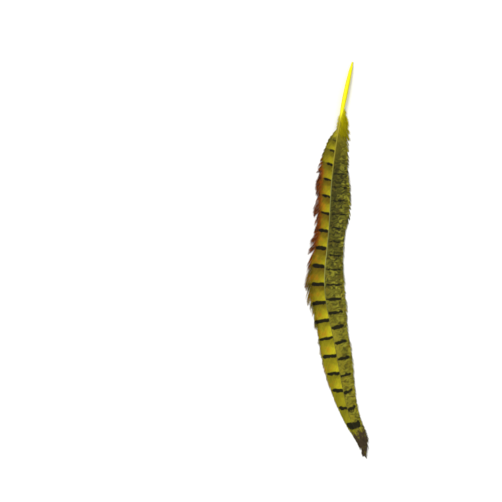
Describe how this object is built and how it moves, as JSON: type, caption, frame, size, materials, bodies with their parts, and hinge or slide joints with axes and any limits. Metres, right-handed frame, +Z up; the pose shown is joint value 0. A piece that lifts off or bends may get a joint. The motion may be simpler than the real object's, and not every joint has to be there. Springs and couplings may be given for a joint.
{
  "type": "pheasant tail feather",
  "caption": "Loose pheasant tail feather dyed yellow, with a bare quill, one barred vane and one mottled vane, for crafts, hats and trims.",
  "frame": {"origin": "on the surface the feather lies on, under the middle of its box", "axes": "+Y from the tip towards the quill end, +X towards the mottled vane, +Z up out of the coloured side"},
  "size_m": [0.0453, 0.2797, 0.005],
  "materials": {
    "feather": "satin"
  },
  "bodies": {
    "root": {"feather": "feather"}
  },
  "joints": []
}
